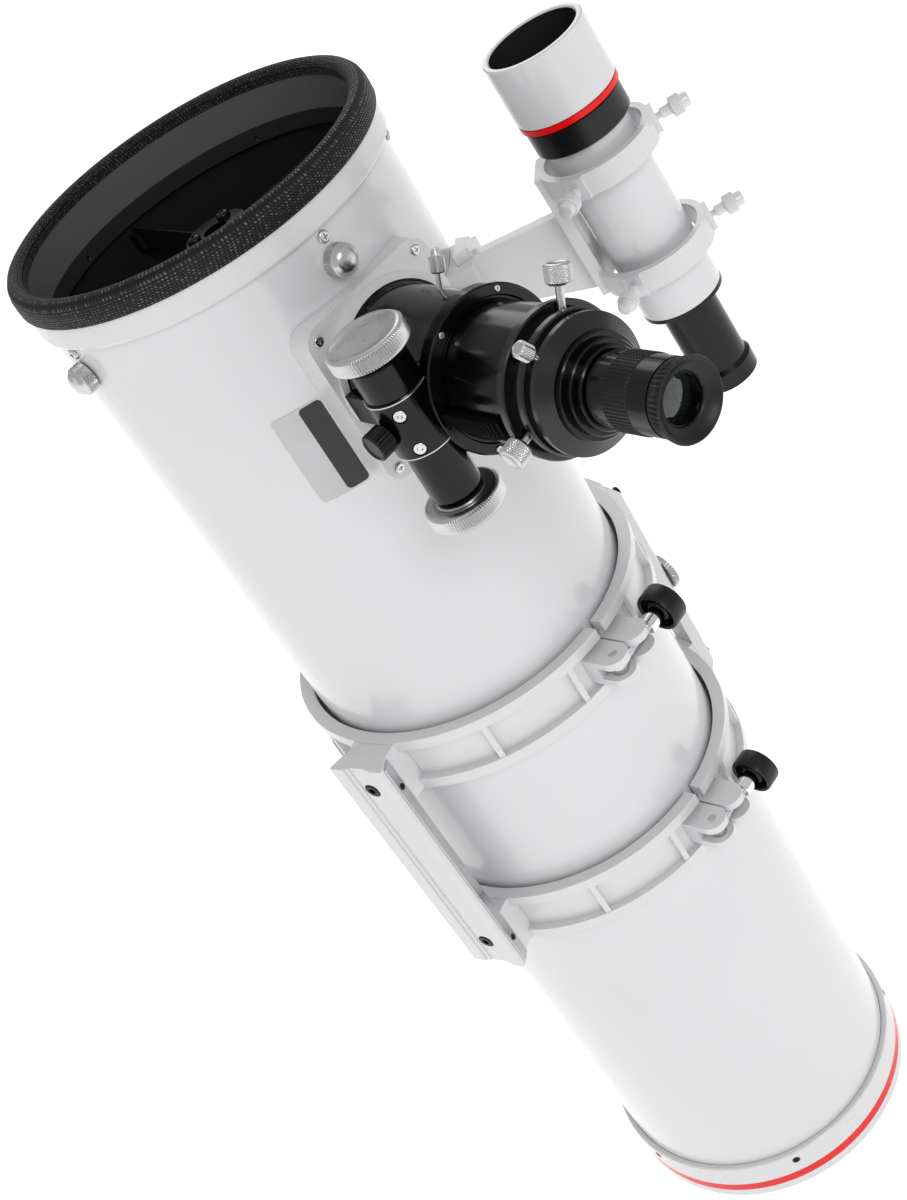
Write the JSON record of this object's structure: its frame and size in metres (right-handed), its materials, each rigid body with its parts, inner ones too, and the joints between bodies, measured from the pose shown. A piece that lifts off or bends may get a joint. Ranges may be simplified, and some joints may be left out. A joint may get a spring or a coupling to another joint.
{
  "type": "newtonian telescope tube",
  "caption": "Newtonian reflector tube in hinged mounting rings, with a rack focuser, eyepiece, aiming finder, carrying handle and dovetail bar.",
  "frame": {"origin": "on the optical axis, in the plane of the rear cell's rim that the tube stands on", "axes": "+Z along the optical axis towards the mouth, -Y from the axis to the dovetail bar, +X to the ring clamps"},
  "size_m": [0.4818, 0.2913, 0.92],
  "materials": {
    "tube_paint": "glossy white",
    "casting_paint": "satin white",
    "trim_textile": "woven black edging",
    "dark_paint": "gloss black",
    "flat_black": "matte black",
    "steel": "brushed",
    "black_steel": "black oxide",
    "silver": "turned",
    "chrome": "polished",
    "knob_plastic": "satin black",
    "rubber": "ribbed",
    "mirror": "polished",
    "glass": "coated",
    "red_ring": "anodised red",
    "felt": "felt"
  },
  "bodies": {
    "tube": {"main_tube": "tube_paint", "front_ring": "casting_paint", "edge_trim": "trim_textile", "front_ring_screws": "steel", "spider_vanes": "flat_black", "vane_knobs": "silver", "spider_hub": "dark_paint", "secondary_screws": "black_steel", "rear_cell": "casting_paint", "rear_cell_screws": "black_steel", "collimation_screws": "steel", "collimation_springs": "steel", "focuser_base": "casting_paint", "focuser_body": "dark_paint", "focuser_screws": "steel", "finder_shoe": "casting_paint"},
    "secondary": {"secondary_holder": "flat_black", "secondary_mirror": "mirror"},
    "primary": {"mirror_cell": "flat_black", "primary_mirror": "mirror", "mirror_clips": "flat_black"},
    "drawtube": {"drawtube": "dark_paint", "drawtube_rack": "black_steel", "eyepiece_clamp": "dark_paint"},
    "pinion": {"pinion_shaft": "steel", "focus_wheels": "silver"},
    "tension_knob": {"tension_knob": "knob_plastic"},
    "focus_lock": {"focus_lock_screw": "silver"},
    "upper_thumbscrew": {"upper_thumbscrew": "silver"},
    "side_thumbscrew": {"side_thumbscrew": "silver"},
    "lower_thumbscrew": {"lower_thumbscrew": "silver"},
    "reducer": {"reducer": "dark_paint"},
    "eyepiece": {"eyepiece_body": "dark_paint", "eyepiece_grip": "rubber", "eyecup": "rubber", "eye_lens": "glass"},
    "cradle": {"ring_lower_rear": "casting_paint", "ring_lower_front": "casting_paint", "ring_upper_rear": "casting_paint", "ring_upper_front": "casting_paint", "ring_liners": "felt", "ring_pins": "steel", "dovetail_bar": "casting_paint", "steel_strip": "steel", "cradle_screws": "black_steel", "carry_handle": "casting_paint"},
    "camera_screw": {"camera_screw": "silver"},
    "bolt_rear": {"clamp_bolt_rear": "steel"},
    "bolt_front": {"clamp_bolt_front": "steel"},
    "knob_rear": {"clamp_knob_rear": "knob_plastic"},
    "knob_front": {"clamp_knob_front": "knob_plastic"},
    "bracket": {"finder_bracket": "casting_paint", "finder_thumbscrews": "casting_paint"},
    "shoe_thumbscrew": {"shoe_thumbscrew": "casting_paint"},
    "finder": {"finder_tube": "tube_paint", "finder_eyepiece": "dark_paint"},
    "objective": {"finder_objective_cell": "tube_paint", "finder_red_ring": "red_ring", "finder_lens": "glass"},
    "lock_ring": {"finder_lock_ring": "knob_plastic"}
  },
  "joints": [
    {"name": "focus_slide", "type": "slide", "parent": "tube", "child": "drawtube", "axis": [0.9608, -0.2773, 0], "range_m": [-0.045, 0.02]},
    {"name": "pinion_turn", "type": "hinge", "parent": "tube", "child": "pinion", "pos_m": [0.16924, -0.09881, 0.798], "axis": [0, 0, 1], "range_deg": [-180, 400]},
    {"name": "tension_turn", "type": "hinge", "parent": "tube", "child": "tension_knob", "pos_m": [0.16924, -0.09881, 0.8065], "axis": [-0.2773, -0.9608, 0], "range_deg": [-180, 180]},
    {"name": "focus_lock_turn", "type": "hinge", "parent": "tube", "child": "focus_lock", "pos_m": [0.16141, -0.04659, 0.798], "axis": [0.1172, 0.406, 0.9063], "range_deg": [-180, 180]},
    {"name": "upper_thumbscrew_turn", "type": "hinge", "parent": "drawtube", "child": "upper_thumbscrew", "pos_m": [0.25518, -0.07365, 0.798], "axis": [0.1216, 0.4212, 0.8988], "range_deg": [-180, 180]},
    {"name": "side_thumbscrew_turn", "type": "hinge", "parent": "drawtube", "child": "side_thumbscrew", "pos_m": [0.26844, -0.07748, 0.798], "axis": [-0.1387, -0.4804, 0.866], "range_deg": [-180, 180]},
    {"name": "lower_thumbscrew_turn", "type": "hinge", "parent": "drawtube", "child": "lower_thumbscrew", "pos_m": [0.25518, -0.07365, 0.798], "axis": [-0.2746, -0.9514, -0.1392], "range_deg": [-180, 180]},
    {"name": "reducer_slide", "type": "slide", "parent": "drawtube", "child": "reducer", "axis": [0.9608, -0.2773, 0], "range_m": [0, 0.025]},
    {"name": "eyepiece_slide", "type": "slide", "parent": "reducer", "child": "eyepiece", "axis": [0.9608, -0.2773, 0], "range_m": [0, 0.025]},
    {"name": "secondary_tilt", "type": "hinge", "parent": "tube", "child": "secondary", "pos_m": [0, 0, 0.87], "axis": [0.2773, 0.9608, 0], "range_deg": [-2, 2]},
    {"name": "primary_tilt", "type": "hinge", "parent": "tube", "child": "primary", "pos_m": [0, 0, 0.038], "axis": [0, 1, 0], "range_deg": [-1, 1]},
    {"name": "cradle_turn", "type": "hinge", "parent": "tube", "child": "cradle", "pos_m": [0, 0, 0.4607], "axis": [0, 0, 1], "continuous": true},
    {"name": "camera_screw_turn", "type": "hinge", "parent": "cradle", "child": "camera_screw", "pos_m": [0.05319, 0.13166, 0.4606], "axis": [0.3746, 0.9272, 0], "continuous": true},
    {"name": "bolt_rear_swing", "type": "hinge", "parent": "cradle", "child": "bolt_rear", "pos_m": [0.13659, -0.03257, 0.3796], "axis": [0, 0, -1], "range_deg": [0, 95]},
    {"name": "bolt_front_swing", "type": "hinge", "parent": "cradle", "child": "bolt_front", "pos_m": [0.13659, -0.03257, 0.5417], "axis": [0, 0, -1], "range_deg": [0, 95]},
    {"name": "knob_rear_turn", "type": "hinge", "parent": "bolt_rear", "child": "knob_rear", "pos_m": [0.14453, 0.01761, 0.3796], "axis": [0.1564, 0.9877, 0], "range_deg": [-180, 180]},
    {"name": "knob_front_turn", "type": "hinge", "parent": "bolt_front", "child": "knob_front", "pos_m": [0.14453, 0.01761, 0.5417], "axis": [0.1564, 0.9877, 0], "range_deg": [-180, 180]},
    {"name": "bracket_slide", "type": "slide", "parent": "tube", "child": "bracket", "axis": [0, 0, 1], "range_m": [0, 0.06]},
    {"name": "shoe_thumbscrew_turn", "type": "hinge", "parent": "tube", "child": "shoe_thumbscrew", "pos_m": [0.11242, 0.05556, 0.778], "axis": [0.4431, -0.8965, 0], "range_deg": [-180, 180]},
    {"name": "finder_aim", "type": "hinge", "parent": "bracket", "child": "finder", "pos_m": [0.20189, 0.09978, 0.79147], "axis": [-0.4431, 0.8965, 0], "range_deg": [-1, 1]},
    {"name": "objective_turn", "type": "hinge", "parent": "finder", "child": "objective", "pos_m": [0.19769, 0.0977, 0.86683], "axis": [-0.0557, -0.0275, 0.9981], "range_deg": [-180, 180]},
    {"name": "lock_ring_turn", "type": "hinge", "parent": "finder", "child": "lock_ring", "pos_m": [0.19858, 0.09814, 0.85086], "axis": [-0.0557, -0.0275, 0.9981], "range_deg": [-180, 180]}
  ],
  "couplings": [
    {"joint": "pinion_turn", "follows": "focus_slide", "rad_per_m": -153.85}
  ]
}
